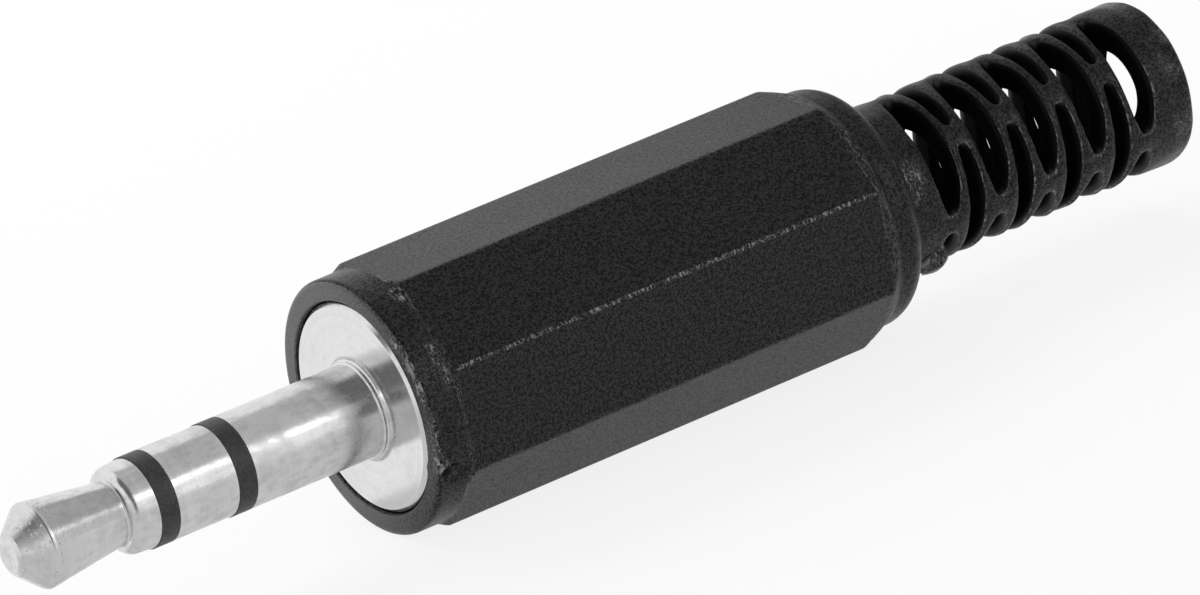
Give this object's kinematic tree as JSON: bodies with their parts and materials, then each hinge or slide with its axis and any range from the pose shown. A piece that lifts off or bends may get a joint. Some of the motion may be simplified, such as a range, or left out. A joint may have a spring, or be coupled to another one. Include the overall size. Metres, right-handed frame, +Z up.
{
  "type": "audio jack plug",
  "caption": "Stereo 3.5 mm audio jack plug with an octagonal black screw-off handle and a slotted strain relief; solder tags and cable clamp inside.",
  "frame": {"origin": "on the axis of the barrel, at the front face of the flange that stops against the socket", "axes": "+X along the plug from the flange towards the cable, so the tip points to -X; +Z up, square to one flat of the octagonal handle, with the plug lying on the opposite flat"},
  "size_m": [0.0499, 0.0096, 0.0096],
  "materials": {
    "plated_contact": "bright nickel plating on turned brass",
    "plated_sleeve": "bright nickel plating on turned brass",
    "tinned_tag": "tinned sheet, satin",
    "insulator": "dark moulded insulator, satin",
    "washer": "punched insulating board",
    "handle": "black moulded plastic with a fine spark-eroded grain"
  },
  "bodies": {
    "plug": {"tip_pin": "plated_contact", "tip_insulator": "insulator", "ring_contact": "plated_contact", "ring_insulator": "insulator", "sleeve_body": "plated_sleeve", "ground_lug": "tinned_tag", "ring_washer": "washer", "ring_lug": "tinned_tag", "tip_washer": "washer", "tip_lug": "tinned_tag"},
    "handle": {"cover": "handle"}
  },
  "joints": [
    {"name": "cover_unscrew", "type": "slide", "parent": "plug", "child": "handle", "axis": [1, 0, 0], "range_m": [0, 0.018]}
  ]
}
